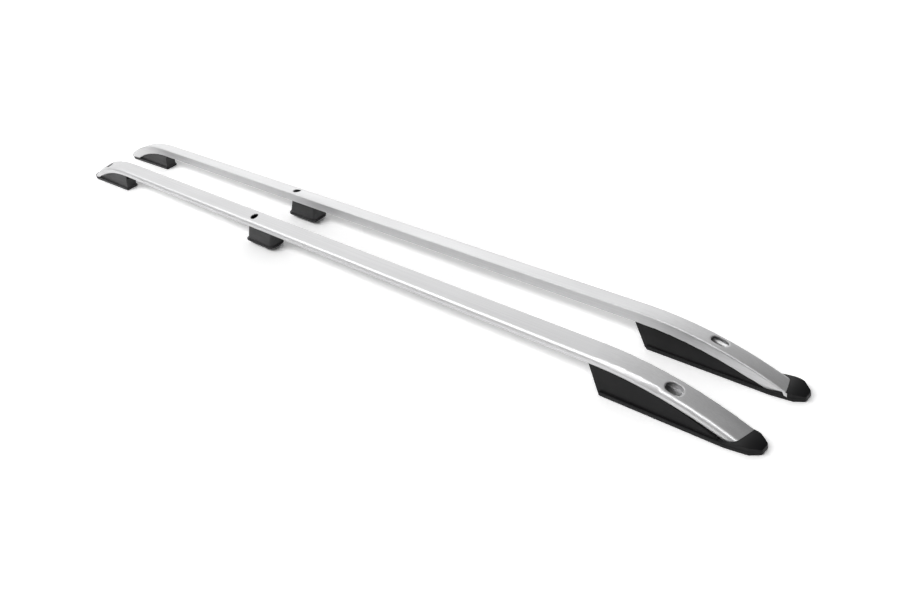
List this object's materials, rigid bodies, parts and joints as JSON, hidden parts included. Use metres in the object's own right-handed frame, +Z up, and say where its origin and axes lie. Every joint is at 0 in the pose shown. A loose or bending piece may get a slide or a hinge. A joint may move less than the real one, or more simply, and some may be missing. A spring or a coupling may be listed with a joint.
{
  "type": "roof side rail pair",
  "caption": "Mirrored pair of roof side rails: satin aluminium tubes bent down at both ends, on moulded black feet with a long swept front foot.",
  "frame": {"origin": "centre of the pair's bounding box at the plane of the front and rear feet", "axes": "+X towards the long swept front feet, +Y from the right rail to the left rail, +Z up from the roof"},
  "size_m": [1.9, 0.1658, 0.0656],
  "materials": {
    "satin_aluminium": "satin silver anodised, brushed along the rail",
    "black_plastic": "fine-grained black moulding",
    "black_rubber": "matt black sheet rubber",
    "zinc_steel": "zinc plated"
  },
  "bodies": {
    "root": {"rail_tube_right": "satin_aluminium", "front_foot_right": "black_plastic", "front_foot_gasket_right": "black_rubber", "front_foot_screws_right": "zinc_steel", "middle_foot_right": "black_plastic", "middle_foot_gasket_right": "black_rubber", "middle_foot_screws_right": "zinc_steel", "rear_foot_right": "black_plastic", "rear_foot_gasket_right": "black_rubber", "rear_foot_screws_right": "zinc_steel", "rail_tube_left": "satin_aluminium", "front_foot_left": "black_plastic", "front_foot_gasket_left": "black_rubber", "front_foot_screws_left": "zinc_steel", "middle_foot_left": "black_plastic", "middle_foot_gasket_left": "black_rubber", "middle_foot_screws_left": "zinc_steel", "rear_foot_left": "black_plastic", "rear_foot_gasket_left": "black_rubber", "rear_foot_screws_left": "zinc_steel"}
  },
  "joints": []
}
